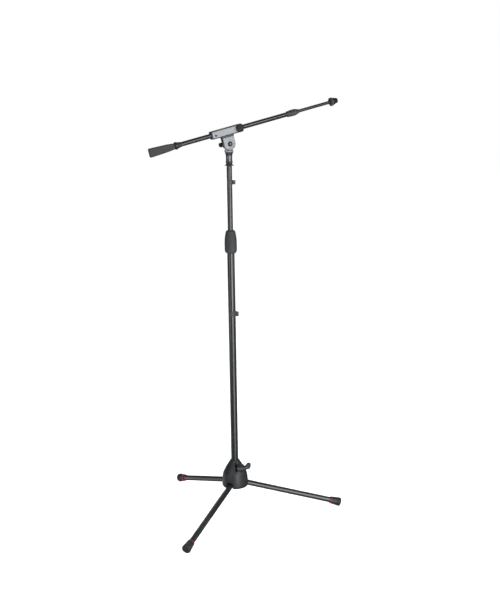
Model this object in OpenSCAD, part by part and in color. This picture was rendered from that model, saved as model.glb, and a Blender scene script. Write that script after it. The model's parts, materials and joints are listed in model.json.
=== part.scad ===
// Boom microphone stand: folding tripod base, two-stage column with a twist clutch,
// tilting and panning boom clamp, and a two-stage boom with a counterweight.
// Millimetres, +Z up. The origin is on the column's axis at floor level.

/* [Tripod base] */
// Outer diameter of a leg tube
leg_d = 17; // [14:0.5:18]
// Distance from the column's axis to the outer end of a foot
foot_reach = 336; // [300:1:380]
// Downward slope of an open leg in degrees
leg_slope = 15.5; // [13:0.5:17]
// Direction of the first leg in degrees from +X
leg_azimuth = 4.5; // [0:0.5:30]
// Largest radius of the bell-shaped hub
hub_r = 41.2; // [40:0.1:42]
// Height of the bell's rim above the floor
hub_z = 86; // [80:1:92]
// Height of the bell from its rim to the top of its neck
hub_h = 87; // [84:1:90]

/* [Column] */
// Outer diameter of the lower tube
lower_d = 22.2; // [20:0.1:25.4]
// Outer diameter of the upper tube
upper_d = 16; // [15:0.1:17]
// Height of the bottom of the twist clutch
clutch_z = 823; // [760:1:860]
// Length of the twist clutch
clutch_h = 69; // [60:1:76]
// Largest diameter of the twist clutch
clutch_d = 37.4; // [35:0.1:40]
// Height of the top of the upper tube
column_top = 1081; // [1040:1:1120]
// Height of the lower cable clip
lower_clip_z = 637; // [500:1:700]
// Height of the upper cable clip
upper_clip_z = 1034.5; // [1020:0.5:1040]

/* [Boom] */
// Height of the tilt pivot above the top of the upper tube
pivot_rise = 66; // [64:1:72]
// Direction of the boom's microphone end in degrees from +X
boom_azimuth = 23; // [-180:1:180]
// Upward slope of the boom in degrees
boom_slope = 13.5; // [0:0.5:45]
// Distance from the tilt pivot to the boom's axis
boom_offset = 36.6; // [36:0.1:40]
// Outer diameter of the outer boom tube
boom_d = 13.6; // [13:0.1:14]
// Outer diameter of the inner boom tube
inner_d = 9.6; // [9:0.1:9.6]
// Distance from the pivot to the counterweight's outer end
tail_reach = 245; // [235:1:260]
// Distance from the pivot to the microphone lock ring
ring_reach = 358; // [350:1:370]

/* [Hidden] */

$fn = 64;

// Clearance of a running fit and of a captive piece
run = 0.05;
free = 0.4;

// Legs
foot_r = 13.8;
foot_neck_r = 11.6;
foot_len = 32;
foot_round = 4;
ring_len = 2.6;
ring_r = 11.5;
leg_wall = 1.2;
pin_reach = 28;
pin_r = 2.5;
pin_len = 26;
leg_inner = 15.4;
leg_len = (foot_reach - pin_reach) / cos(leg_slope);
foot_seat = leg_len - foot_round;
pin_z = foot_seat * sin(leg_slope) + (foot_r - foot_round) * cos(leg_slope) + foot_round;

// Bell
neck_r = 13.6;
hub_top = hub_z + hub_h;
cavity_r = 37.2;
cavity_top = hub_z + 42;
cavity_waist = hub_z + 30;
lug_in = 9.2;
lug_out = 13.5;
leg_slot_top = pin_z + leg_d / 2 + 1;
slit_angle = -83.5;
slit_w = 4.5;
screw_z = hub_z + 64;
slit_bottom = screw_z - 12;
screw_back = 20;
screw_r = 2.5;
boss_r = 10.5;
boss_end = 26.4;
clamp_nut_r = 4.6;
clamp_nut_x = -9;
clamp_nut_t = 4;

// Column
lower_r = lower_d / 2;
lower_wall = 1.2;
lower_bottom = 106;
lower_top = clutch_z + 23;
upper_r = upper_d / 2;
upper_wall = 1;
upper_bottom = 330;
core_r = 13.4;
core_top = clutch_z + 53;
collet_r = lower_r - 1.3;
lip_r = upper_r + 0.6;

// Swivel
thread_r = 7.9375;
thread_root_r = 7.3;
stud_top = column_top + 31;
ring_z = column_top + 2.4;
socket_z = column_top + 10;
shoulder_z = column_top + 42;
shoulder_top = column_top + 47.3;
shoulder_r = 13.7;
pivot_z = column_top + pivot_rise;
tongue_t = 7;
tongue_r = 16;
disc_t = 1;
disc_r = 14;
cheek_in = tongue_t / 2 + disc_t;
cheek_t = 5.5;
cheek_out = cheek_in + cheek_t;
cheek_r = 17.8;
bolt_r = 3;

// Clamp housing, along the boom's own axis
frame_lo = -50;
frame_hi = 52;
frame_h = 23.4;
frame_t = 2 * cheek_out;
plate_t = 2;
plate_h = 18.6;
plate_lo = frame_lo + 3;
plate_hi = frame_hi - 3;
bush_r = 7.6;
bush_len = 10;
saddle_hi = boom_offset - frame_h / 2;
saddle_lo = saddle_hi - 4.2;
saddle_half = 19;
knob_s = 40;
knob_r = 11.5;
knob_t = 10;
plate_screw_s = -37;
plate_screw_e = -2.5;
plate_screw_r = 2.9;

// Boom
boom_r = boom_d / 2;
boom_bore = boom_r - 1;
inner_r = inner_d / 2;
collar_hi = -146;
collar_lo = -165;
boom_lo = collar_hi - 12;
boom_hi = 214;
nut_lo = 216;
nut_hi = 247;
nut_thread_r = 8.3;
inner_lo = -40;
weight_wide = 26.6;
weight_waist = 21.6;
weight_narrow = 16.4;
weight_t = 12;
mic_shoulder = ring_reach - 1;
mic_ring_end = ring_reach + 15;
mic_tip = ring_reach + 24;

// Points of a quadratic curve from a to c that leans towards b
function curve(a, b, c, n) =
    [for (i = [0:n]) let (t = i / n) (1 - t) * (1 - t) * a + 2 * t * (1 - t) * b + t * t * c];

// Points of an arc round centre c from angle a0 to a1
function arc(c, r, a0, a1, n) =
    [for (i = [0:n]) c + r * [cos(a0 + (a1 - a0) * i / n), sin(a0 + (a1 - a0) * i / n)]];

// A tube along +Z from z0 to z1
module tube(r_out, r_in, z0, z1) {
    translate([0, 0, z0])
        difference() {
            cylinder(h = z1 - z0, r = r_out);
            translate([0, 0, -1])
                cylinder(h = z1 - z0 + 2, r = r_in);
        }
}

// A solid rod along +Z from z0 to z1
module rod(r, z0, z1) {
    translate([0, 0, z0])
        cylinder(h = z1 - z0, r = r);
}

// Turns a child drawn along +Z to lie along the frame's own +X
module along_x() {
    rotate([0, 90, 0])
        children();
}

// Turns a child drawn along +Z to point at the boom's front side, its own -Y
module to_front() {
    rotate([90, 0, 0])
        children();
}

// Frame of a leg: origin at its pin, +X out along the leg
module leg_frame(i) {
    rotate([0, 0, leg_azimuth + 120 * i])
        translate([pin_reach, 0, pin_z])
            rotate([0, leg_slope, 0])
                children();
}

// Frame of the column clamp's screw: +X across the slit, away from it
module screw_frame() {
    rotate([0, 0, slit_angle + 90])
        translate([0, -screw_back, screw_z])
            children();
}

// Frame of the swivel: origin at the tilt pivot, +X to the microphone end
module swivel_frame() {
    translate([0, 0, pivot_z])
        rotate([0, 0, boom_azimuth])
            children();
}

// Frame of the tilting head: as the swivel, tilted up with the boom
module tilt_frame() {
    swivel_frame()
        rotate([0, -boom_slope, 0])
            children();
}

// Frame of the boom: origin on the boom's axis above the pivot
module boom_frame() {
    tilt_frame()
        translate([0, 0, boom_offset])
            children();
}

// ---- Tripod base ----

module bell_outline() {
    polygon(concat(
        [[0, hub_z], [hub_r - 8, hub_z]],
        arc([hub_r - 8, hub_z + 8], 8, -90, 0, 5),
        curve([hub_r, hub_z + 12], [hub_r - 0.6, hub_z + 34], [36.6, hub_z + 47], 7),
        [[28, hub_z + 64], [neck_r + 3, hub_top - 4], [neck_r, hub_top], [0, hub_top]]
    ));
}

module leg_lugs() {
    for (side = [-1, 1])
        translate([17, side * (lug_in + lug_out) / 2 - (lug_out - lug_in) / 2, hub_z + 2])
            cube([cavity_r - 14, lug_out - lug_in, cavity_top - hub_z]);
}

module base_bell() {
    color("#3c3e40")
        difference() {
            union() {
                difference() {
                    rotate_extrude()
                        bell_outline();
                    rod(cavity_r - 4, hub_z - 1, cavity_top);
                    rod(cavity_r, hub_z + 4, cavity_waist);
                }
                intersection() {
                    union() {
                        for (i = [0:2])
                            rotate([0, 0, leg_azimuth + 120 * i])
                                leg_lugs();
                    }
                    rotate_extrude()
                        bell_outline();
                }
                screw_frame()
                    along_x()
                        rod(boss_r, slit_w / 2, boss_end);
            }
            rod(lower_r + run, hub_z, hub_top + 1);
            for (i = [0:2]) {
                rotate([0, 0, leg_azimuth + 120 * i])
                    translate([20, -lug_in, hub_z - 1])
                        cube([hub_r, 2 * lug_in, leg_slot_top - hub_z + 1]);
                leg_frame(i)
                    to_front()
                        rod(pin_r + run, -pin_len / 2 - 0.2, pin_len / 2 + 0.2);
            }
            rotate([0, 0, slit_angle])
                translate([0, -slit_w / 2, slit_bottom])
                    cube([hub_r + 5, slit_w, hub_h]);
            screw_frame()
                along_x()
                    rod(screw_r + run, -10, boss_end + 1);
            screw_frame()
                translate([clamp_nut_x - 0.1, 0, 0])
                    along_x()
                        cylinder(h = clamp_nut_t + 0.2, r = clamp_nut_r + 0.1, $fn = 6);
        }
}

// The screw's one wing, which clears the bell's flank as it turns
module wing_outline() {
    polygon(concat(
        [[0.2, 0], [0.2, 6.5], [3.2, 10], [5.4, 13], [8.5, 17.3]],
        arc([15.6, 15.6], 4.6, 115, 0, 6),
        [[19.4, 6], [16, -3.5], [12, -6.5]]
    ));
}

module base_wing_screw() {
    color("#2b2d2e")
        screw_frame() {
            along_x()
                rod(screw_r, -9, boss_end + 2);
            translate([boss_end + 0.5, 0, 0])
                rotate([28, 0, 0]) {
                    along_x()
                        rod(6.5, 0, 16);
                    rotate([90, 0, 0])
                        linear_extrude(6, center = true)
                            wing_outline();
                }
        }
}

module base_clamp_nut() {
    color("silver")
        screw_frame()
            translate([clamp_nut_x, 0, 0])
                along_x()
                    difference() {
                        cylinder(h = clamp_nut_t, r = clamp_nut_r, $fn = 6);
                        rod(screw_r + run, -1, clamp_nut_t + 1);
                    }
}

module leg_pin(i) {
    color("silver")
        leg_frame(i)
            to_front()
                rod(pin_r, -pin_len / 2, pin_len / 2);
}

module leg_tube(i) {
    color("#2e3031")
        leg_frame(i)
            difference() {
                along_x()
                    tube(leg_d / 2, leg_d / 2 - leg_wall, -leg_inner, leg_len - 6);
                to_front()
                    rod(pin_r + run, -leg_d, leg_d);
            }
}

module foot_ring(i) {
    color("crimson")
        leg_frame(i)
            along_x()
                tube(ring_r, leg_d / 2, leg_len - foot_len - ring_len, leg_len - foot_len);
}

module foot_outline() {
    bead = 1.2;
    start = leg_len - foot_len;
    polygon(concat(
        [[leg_d / 2, start], [foot_neck_r - bead, start]],
        arc([foot_neck_r - bead, start + bead], bead, -90, 0, 3),
        curve([foot_neck_r, start + 6], [foot_neck_r + 0.6, start + 16], [foot_r - 0.4, leg_len - 9], 5),
        [[foot_r, foot_seat]],
        arc([foot_r - foot_round, foot_seat], foot_round, 0, 90, 6),
        [[0, leg_len], [0, leg_len - 6], [leg_d / 2, leg_len - 6]]
    ));
}

module rubber_foot(i) {
    color("#26282a")
        leg_frame(i)
            along_x()
                rotate_extrude()
                    foot_outline();
}

// ---- Column ----

module lower_tube() {
    color("#2e3031")
        tube(lower_r, lower_r - lower_wall, lower_bottom, lower_top);
}

module lower_tube_plug() {
    color("#1e1f20")
        difference() {
            union() {
                rod(lower_r - lower_wall, lower_bottom, lower_bottom + 16);
                rod(lower_r, lower_bottom - 2, lower_bottom);
            }
            rod(4, lower_bottom - 3, lower_bottom + 17);
        }
}

// Snap-on clip: a C-shaped band round the tube and a hook that holds a cable
module cable_clip(r, z, facing, h, hook_r) {
    band = 1.6;
    hook = 1.8;
    reach = r + band + hook_r - 0.6;
    translate([0, 0, z - h / 2])
        rotate([0, 0, facing])
            linear_extrude(h)
                difference() {
                    union() {
                        circle(r = r + band);
                        translate([reach, 0])
                            circle(r = hook_r + hook);
                    }
                    circle(r = r + run);
                    translate([reach, 0])
                        circle(r = hook_r);
                    polygon([[0, 0], [-60, 34], [-60, -34]]);
                    translate([reach, 0])
                        rotate(38)
                            translate([0, -hook_r * 0.72])
                                square([2 * hook_r + 6, 1.44 * hook_r]);
                }
}

module lower_cable_clip() {
    color("#3a3c3d")
        cable_clip(lower_r, lower_clip_z, -8, 15, 3.4);
}

module upper_cable_clip() {
    color("#3a3c3d")
        cable_clip(upper_r, upper_clip_z, -8, 13.5, 3.4);
}

// Threaded body that is pressed over the lower tube and holds the collet in a cone
module clutch_core() {
    color("#202122")
        rotate_extrude()
            polygon([
                [lower_r, clutch_z + 4], [core_r, clutch_z + 4], [core_r, core_top],
                [collet_r + 1.2, core_top], [collet_r + 0.1, lower_top + 12],
                [collet_r + 0.1, lower_top], [lower_r, lower_top]
            ]);
}

module clutch_collet() {
    slot = 1.4;
    color("ivory")
        difference() {
            rotate_extrude()
                polygon([
                    [upper_r + run, lower_top + 0.5], [collet_r, lower_top + 0.5],
                    [collet_r, lower_top + 12], [collet_r + 1.1, core_top],
                    [collet_r + 1.1, core_top + 3], [upper_r + run, core_top + 3]
                ]);
            for (a = [0:90:270])
                rotate([0, 0, a])
                    translate([0, -slot / 2, lower_top + 10])
                        cube([20, slot, 40]);
        }
}

// Radius of the grip at a share t of its height: a barrel that is widest below the middle
function grip_r(t) =
    clutch_d / 2 * (1 - 0.95 * pow(max(t - 0.3, 0), 3) - 0.35 * pow(max(0.3 - t, 0), 2));

module clutch_grip() {
    z1 = clutch_z + clutch_h;
    color("#4a4d4e")
        rotate_extrude()
            polygon(concat(
                [[lower_r + free, clutch_z]],
                curve([lower_r + 1.2, clutch_z], [clutch_d / 2 - 1.2, clutch_z + 0.5],
                      [grip_r(0.14), clutch_z + 0.14 * clutch_h], 6),
                [for (t = [0.22:0.08:0.82]) [grip_r(t), clutch_z + clutch_h * t]],
                curve([grip_r(0.88), clutch_z + 0.88 * clutch_h], [grip_r(0.94), z1 - 0.5],
                      [lip_r + 1.8, z1], 6),
                [[lip_r, z1], [lip_r, core_top + 6],
                 [core_r + run, core_top + 3.4], [core_r + run, clutch_z + 3.6],
                 [lower_r + free, clutch_z + 3.6]]
            ));
}

module upper_tube() {
    color("#2e3031")
        difference() {
            tube(upper_r, upper_r - upper_wall, upper_bottom, column_top);
            translate([0, 0, column_top - 7])
                to_front()
                    rod(1.6, 0, 20);
        }
}

// Bush at the tube's lower end that guides it inside the lower tube
module upper_tube_guide() {
    color("ivory")
        rotate_extrude()
            polygon([
                [4, upper_bottom - 4], [lower_r - lower_wall - run, upper_bottom - 4],
                [lower_r - lower_wall - run, upper_bottom], [upper_r - upper_wall, upper_bottom],
                [upper_r - upper_wall, upper_bottom + 16], [4, upper_bottom + 16]
            ]);
}

module top_thread_stud() {
    color("#2a2c2e")
        difference() {
            union() {
                rod(upper_r - upper_wall, column_top - 30, column_top);
                rod(thread_r, column_top, stud_top);
            }
            translate([0, 0, column_top - 7])
                to_front()
                    rod(1.6, 0, 20);
        }
}

module stud_set_screw() {
    color("#161718")
        translate([0, 0, column_top - 7])
            to_front()
                difference() {
                    rod(1.6, 1, upper_r - 0.5);
                    translate([0, 0, upper_r - 1.7])
                        cylinder(h = 3, r = 0.8, $fn = 6);
                }
}

module swivel_lock_ring() {
    notches = 24;
    color("#2b2d2e")
        difference() {
            rotate_extrude()
                polygon([
                    [thread_r + run, ring_z], [13, ring_z], [13.8, ring_z + 0.7],
                    [13.8, ring_z + 1.5], [13, ring_z + 2.2], [10.6, ring_z + 2.4],
                    [9.2, socket_z - 0.4], [thread_r + run, socket_z - 0.4]
                ]);
            for (i = [0:notches - 1])
                rotate([0, 0, 360 / notches * i])
                    translate([14.1, 0, ring_z - 1])
                        cylinder(h = 5, r = 0.7, $fn = 16);
        }
}

// ---- Swivel ----

module swivel_socket() {
    color("#1d1f20")
        difference() {
            rotate_extrude()
                polygon([
                    [0, socket_z], [10.2, socket_z], [10.4, socket_z + 0.6], [10.4, socket_z + 5.4],
                    [9.4, socket_z + 6.2], [9.4, socket_z + 24], [12, shoulder_z - 0.6],
                    [12, shoulder_z], [0, shoulder_z]
                ]);
            rod(thread_r + run, socket_z - 1, stud_top + 2);
            rod(5, stud_top + 1, shoulder_z + 1);
        }
}

// Tongue between the cheeks: a disc round the pivot on a foot that widens upwards
module tongue_outline() {
    foot = shoulder_top - pivot_z - 1;
    circle(r = tongue_r);
    polygon([[-10.6, foot], [10.6, foot], [13.6, -7], [-13.6, -7]]);
}

module swivel_shoulder() {
    color("#b6bbbe")
        difference() {
            union() {
                rotate_extrude()
                    polygon([
                        [0, shoulder_z], [12.4, shoulder_z], [shoulder_r, shoulder_z + 1.4],
                        [shoulder_r, shoulder_top - 1.2], [shoulder_r - 1.2, shoulder_top],
                        [0, shoulder_top]
                    ]);
                rod(5 - run, stud_top + 4, shoulder_z);
                swivel_frame()
                    to_front()
                        linear_extrude(tongue_t, center = true)
                            tongue_outline();
            }
            swivel_frame()
                to_front()
                    rod(bolt_r + run, -20, 20);
        }
}

// A friction washer on the tilt pivot, on the side given by +1 (front) or -1 (rear)
module friction_disc(side) {
    inner = tongue_t / 2 + 0.02;
    outer = cheek_in;
    color("#6b4a35")
        tilt_frame()
            to_front()
                tube(disc_r, bolt_r + 0.3, side > 0 ? inner : -outer, side > 0 ? outer : -inner);
}

module front_friction_disc() {
    friction_disc(1);
}

module rear_friction_disc() {
    friction_disc(-1);
}

// Cheek outline about the pivot: round below, straight flanks, flat at the top
module cheek_outline() {
    circle(r = cheek_r);
    translate([-cheek_r, 0])
        square([2 * cheek_r, saddle_lo]);
}

// A cheek between two distances in front of the boom's middle plane
module cheek(w0, w1) {
    tilt_frame()
        to_front()
            translate([0, 0, w0])
                difference() {
                    linear_extrude(w1 - w0)
                        cheek_outline();
                    rod(bolt_r, -1, w1 - w0 + 1);
                }
}

module front_cheek() {
    color("#b9bec1")
        cheek(cheek_in, cheek_out);
}

// Rear cheek with the saddle that the clamp frame sits on
module rear_cheek() {
    color("#1d1f20") {
        cheek(-cheek_out, -cheek_in);
        tilt_frame()
            translate([-saddle_half, -cheek_out + 0.2, saddle_lo])
                cube([2 * saddle_half, 2 * cheek_out - 0.4, saddle_hi - saddle_lo]);
    }
}

module pivot_bolt() {
    color("silver")
        tilt_frame()
            to_front()
                rod(bolt_r, -30, cheek_out + 3.4);
}

module pivot_nut() {
    color("#1a1b1c")
        tilt_frame()
            to_front()
                difference() {
                    union() {
                        rod(7.4, cheek_out, cheek_out + 0.8);
                        translate([0, 0, cheek_out + 0.8])
                            cylinder(h = 2, r = 7, $fn = 6);
                    }
                    rod(bolt_r, cheek_out - 1, cheek_out + 4);
                }
}

module tee_outline() {
    polygon(concat(
        arc([15, 2.5], 4.5, 0, 90, 4),
        [[7, 6]],
        [[-7, 6]],
        arc([-15, 2.5], 4.5, 90, 180, 4),
        arc([-15, -2.5], 4.5, 180, 270, 4),
        [[-7, -6]],
        [[7, -6]],
        arc([15, -2.5], 4.5, 270, 360, 4)
    ));
}

module pivot_tee_knob() {
    color("#161718")
        tilt_frame()
            to_front()
                difference() {
                    union() {
                        tube(8, bolt_r + run, -cheek_out - 12, -cheek_out - 0.3);
                        translate([0, 0, -cheek_out - 24])
                            linear_extrude(13)
                                tee_outline();
                    }
                    rod(bolt_r + run, -31, 0);
                }
}

// ---- Clamp housing ----

module clamp_frame() {
    mid = (frame_lo + frame_hi) / 2;
    color("#232526")
        boom_frame()
            difference() {
                translate([mid, 0, 0])
                    cube([frame_hi - frame_lo, frame_t, frame_h], center = true);
                for (side = [-1, 1])
                    translate([(plate_lo + plate_hi) / 2, side * frame_t / 2, 0])
                        cube([plate_hi - plate_lo, 2 * plate_t, plate_h], center = true);
                along_x()
                    rod(boom_r + 0.6, frame_lo - 1, frame_hi + 1);
                along_x()
                    rod(bush_r, frame_lo - 1, frame_lo + bush_len);
                along_x()
                    rod(bush_r, frame_hi - bush_len, frame_hi + 1);
                translate([knob_s, 0, 0])
                    to_front()
                        rod(3 + run, 0, frame_t);
                for (side = [0, 180])
                    translate([plate_screw_s, 0, plate_screw_e])
                        rotate([0, 0, side])
                            to_front()
                                rod(1.2, 0, frame_t);
            }
}

// Satin side plate let into one face of the clamp frame
module side_plate(side) {
    color("#bfc4c7")
        boom_frame()
            rotate([0, 0, side > 0 ? 0 : 180])
                to_front()
                    difference() {
                        translate([side > 0 ? plate_lo : -plate_hi, -plate_h / 2, frame_t / 2 - plate_t])
                            cube([plate_hi - plate_lo, plate_h, plate_t]);
                        translate([side * plate_screw_s, plate_screw_e, 0])
                            rod(plate_screw_r, 0, frame_t);
                        if (side > 0)
                            translate([knob_s, 0, 0])
                                rod(3 + run, 0, frame_t);
                    }
}

module front_side_plate() {
    side_plate(1);
}

module rear_side_plate() {
    side_plate(-1);
}

module side_plate_screws() {
    color("#161718")
        boom_frame()
            for (side = [0, 180])
                translate([plate_screw_s, 0, plate_screw_e])
                    rotate([0, 0, side])
                        to_front()
                            difference() {
                                union() {
                                    rod(1.2, boom_r + 0.1, frame_t / 2 - plate_t);
                                    rod(plate_screw_r, frame_t / 2 - plate_t, frame_t / 2 - 0.3);
                                }
                                translate([0, 0, frame_t / 2 - 1.1])
                                    cylinder(h = 2, r = 1.2, $fn = 6);
                            }
}

// Nylon bush let into one end of the clamp frame, flush with it
module tube_bush(end, out) {
    color("#141516")
        boom_frame()
            translate([end, 0, 0])
                rotate([0, out * 90, 0])
                    difference() {
                        rod(bush_r, -bush_len, 0);
                        rod(boom_r + run, -bush_len - 1, 1);
                    }
}

module tail_tube_bush() {
    tube_bush(frame_lo, -1);
}

module nose_tube_bush() {
    tube_bush(frame_hi, 1);
}

module clamp_pad() {
    color("goldenrod")
        boom_frame()
            translate([knob_s, 0, 0])
                to_front()
                    rod(3, boom_r + 1.1, boom_r + 1.7);
}

module clamp_knob() {
    flutes = 12;
    color("#1f2122")
        boom_frame()
            translate([knob_s, 0, 0])
                to_front() {
                    rod(3, boom_r + 1.75, frame_t / 2 + 1.5);
                    difference() {
                        translate([0, 0, frame_t / 2 + 0.6])
                            rotate_extrude()
                                polygon(concat(
                                    [[0, 0], [knob_r - 2, 0], [knob_r, 1.4]],
                                    arc([knob_r - 1.6, knob_t - 1.6], 1.6, 0, 90, 4),
                                    [[0, knob_t]]
                                ));
                        for (i = [0:flutes - 1])
                            rotate([0, 0, 360 / flutes * i])
                                translate([knob_r + 1.1, 0, frame_t / 2])
                                    cylinder(h = knob_t + 2, r = 1.7, $fn = 24);
                    }
                }
}

// ---- Boom ----

module boom_outer_tube() {
    color("#2e3031")
        boom_frame()
            along_x()
                tube(boom_r, boom_bore, boom_lo, boom_hi);
}

module boom_tail_stud() {
    color("silver")
        boom_frame()
            along_x() {
                rod(boom_bore, boom_lo + 0.2, boom_lo + 14);
                rod(3, collar_lo - 12, boom_lo + 0.2);
            }
}

// Collar of the counterweight: a flanged nut that turns on the tube's end
module counterweight_collar() {
    color("#242627")
        boom_frame()
            along_x()
                rotate_extrude()
                    polygon([
                        [3 + run, collar_lo], [10.2, collar_lo], [11, collar_lo + 0.8],
                        [11, collar_lo + 6.6], [10.2, collar_lo + 7.4], [9, collar_lo + 7.8],
                        [7.8, collar_hi - 0.8], [7.4, collar_hi], [boom_r + run, collar_hi],
                        [boom_r + run, boom_lo - 0.4], [3 + run, boom_lo - 0.4]
                    ]);
}

module counterweight() {
    edge = 2.6;
    module slice(s, half_h, half_t) {
        for (y = [-1, 1], z = [-1, 1])
            translate([s, y * (half_t - edge), z * (half_h - edge)])
                sphere(r = edge, $fn = 24);
    }
    color("#4c5050")
        boom_frame()
            difference() {
                hull() {
                    slice(-tail_reach + edge, weight_wide / 2, weight_t / 2);
                    slice(collar_lo - 18, weight_waist / 2, weight_t / 2);
                    slice(collar_lo - edge, weight_narrow / 2, weight_t / 2 - 0.3);
                }
                along_x()
                    rod(3 + run, collar_lo - 16, collar_lo + 1);
            }
}

// Bush pressed on the outer tube's end that carries the clutch nut's thread
module boom_end_bush() {
    color("#3a3c3d")
        boom_frame()
            along_x()
                rotate_extrude()
                    polygon([
                        [boom_r, nut_lo - 10], [8.3, nut_lo - 10], [9, nut_lo - 9.2],
                        [9, nut_lo - 1.2], [nut_thread_r, nut_lo - 1.2],
                        [nut_thread_r, nut_lo + 9],
                        [boom_bore + 0.4, nut_lo + 9], [boom_bore, nut_lo],
                        [boom_bore, boom_hi], [boom_r, boom_hi]
                    ]);
}

module boom_collet() {
    slot = 1;
    color("ivory")
        boom_frame()
            difference() {
                along_x()
                    rotate_extrude()
                        polygon([
                            [inner_r + run, boom_hi + 1], [boom_bore - 0.1, boom_hi + 1],
                            [boom_bore - 0.1, nut_lo], [boom_bore + 0.3, nut_lo + 9],
                            [boom_bore + 1.6, nut_lo + 10], [boom_bore + 0.6, nut_lo + 15],
                            [inner_r + run, nut_lo + 15]
                        ]);
                for (a = [0, 120, 240])
                    rotate([a, 0, 0])
                        translate([nut_lo + 2, 0, -slot / 2])
                            cube([20, 12, slot]);
            }
}

module boom_clutch_nut() {
    flutes = 10;
    color("#3d4041")
        boom_frame()
            along_x()
                difference() {
                    rotate_extrude()
                        polygon([
                            [nut_thread_r + run, nut_lo], [9.4, nut_lo], [9.9, nut_lo + 0.8],
                            [9.9, nut_lo + 15], [9, nut_lo + 18],
                            [inner_r + 1.3, nut_hi - 0.6], [inner_r + 0.9, nut_hi],
                            [inner_r + 0.3, nut_hi], [inner_r + 0.3, nut_lo + 19],
                            [nut_thread_r + run, nut_lo + 12]
                        ]);
                    for (i = [0:flutes - 1])
                        rotate([0, 0, 360 / flutes * i])
                            translate([10.6, 0, nut_lo + 1.5])
                                cylinder(h = 18, r = 1.2, $fn = 16);
                }
}

module boom_inner_tube() {
    color("#2e3031")
        boom_frame()
            along_x()
                tube(inner_r, inner_r - 1, inner_lo, mic_shoulder);
}

module boom_inner_guide() {
    color("ivory")
        boom_frame()
            along_x()
                rotate_extrude()
                    polygon([
                        [1.5, inner_lo - 3], [boom_bore - run, inner_lo - 3],
                        [boom_bore - run, inner_lo], [inner_r - 1, inner_lo],
                        [inner_r - 1, inner_lo + 10], [1.5, inner_lo + 10]
                    ]);
}

module mic_thread_stud() {
    color("#2a2c2e")
        boom_frame()
            along_x()
                difference() {
                    union() {
                        rod(inner_r - 1, mic_shoulder - 20, mic_shoulder);
                        rod(thread_root_r, mic_shoulder, mic_ring_end + 0.2);
                        rod(thread_r, mic_ring_end + 0.2, mic_tip - 1);
                        translate([0, 0, mic_tip - 1])
                            cylinder(h = 1, r1 = thread_r, r2 = thread_r - 1);
                    }
                    rod(4, mic_tip - 12, mic_tip + 1);
                }
}

module mic_lock_ring() {
    lobes = 8;
    color("#45484a")
        boom_frame()
            along_x()
                difference() {
                    rotate_extrude()
                        polygon([
                            [thread_root_r + run, ring_reach], [12.2, ring_reach],
                            [13, ring_reach + 1], [13, ring_reach + 6.5], [12.2, ring_reach + 7.5],
                            [10.3, ring_reach + 7.7], [10.3, mic_ring_end - 0.8],
                            [9.6, mic_ring_end], [thread_root_r + run, mic_ring_end]
                        ]);
                    for (i = [0:lobes - 1])
                        rotate([0, 0, 360 / lobes * i])
                            translate([14.6, 0, ring_reach - 1])
                                cylinder(h = 9.5, r = 2.6, $fn = 32);
                }
}

base_bell();
base_wing_screw();
base_clamp_nut();
for (i = [0:2]) {
    leg_pin(i);
    leg_tube(i);
    foot_ring(i);
    rubber_foot(i);
}
lower_tube();
lower_tube_plug();
lower_cable_clip();
clutch_core();
clutch_collet();
clutch_grip();
upper_tube();
upper_tube_guide();
upper_cable_clip();
top_thread_stud();
stud_set_screw();
swivel_lock_ring();
swivel_socket();
swivel_shoulder();
front_friction_disc();
rear_friction_disc();
front_cheek();
rear_cheek();
pivot_bolt();
pivot_nut();
pivot_tee_knob();
clamp_frame();
front_side_plate();
rear_side_plate();
side_plate_screws();
tail_tube_bush();
nose_tube_bush();
clamp_pad();
clamp_knob();
boom_outer_tube();
boom_tail_stud();
counterweight_collar();
counterweight();
boom_end_bush();
boom_collet();
boom_clutch_nut();
boom_inner_tube();
boom_inner_guide();
mic_thread_stud();
mic_lock_ring();
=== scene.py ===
import json
import math

import bmesh
import bpy
import numpy as np
from mathutils import Matrix, Vector


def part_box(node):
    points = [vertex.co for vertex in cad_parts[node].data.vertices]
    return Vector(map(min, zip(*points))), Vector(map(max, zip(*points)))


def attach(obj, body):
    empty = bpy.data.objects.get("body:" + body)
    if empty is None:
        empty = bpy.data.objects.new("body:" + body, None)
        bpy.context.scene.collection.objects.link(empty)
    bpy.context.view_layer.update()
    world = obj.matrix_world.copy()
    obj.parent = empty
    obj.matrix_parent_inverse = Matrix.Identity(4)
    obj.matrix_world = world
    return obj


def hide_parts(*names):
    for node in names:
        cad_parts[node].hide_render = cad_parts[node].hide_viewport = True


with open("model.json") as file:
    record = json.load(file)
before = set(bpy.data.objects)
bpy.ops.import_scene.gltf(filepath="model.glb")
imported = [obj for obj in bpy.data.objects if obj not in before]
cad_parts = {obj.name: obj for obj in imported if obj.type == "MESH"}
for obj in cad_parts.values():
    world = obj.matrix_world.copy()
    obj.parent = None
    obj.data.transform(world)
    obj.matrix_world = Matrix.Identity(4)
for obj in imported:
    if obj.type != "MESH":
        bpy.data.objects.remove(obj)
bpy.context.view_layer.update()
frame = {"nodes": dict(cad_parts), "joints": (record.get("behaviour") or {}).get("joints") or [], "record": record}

MM = 0.001
TAU = 2 * math.pi
RECORD = frame["record"]
BODY_OF = {n: body for body, nodes in RECORD["behaviour"]["bodies"].items() for n in nodes}
SLOT_OF = {s["node"]: s["material_slot"] for s in RECORD["subparts"]}
JOINT = {j["name"]: j for j in frame["joints"]}


# ---------------------------------------------------------------- frames

def joint_axis(name):
    return Vector(JOINT[name]["axis"]).normalized()


def joint_place(name):
    return Vector(JOINT[name]["pos_m"])


def box_centre(node):
    lo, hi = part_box(node)
    return (lo + hi) / 2


def axes_matrix(origin, x, y, z):
    m = Matrix((x, y, z)).transposed().to_4x4()
    m.translation = origin
    return m


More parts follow.
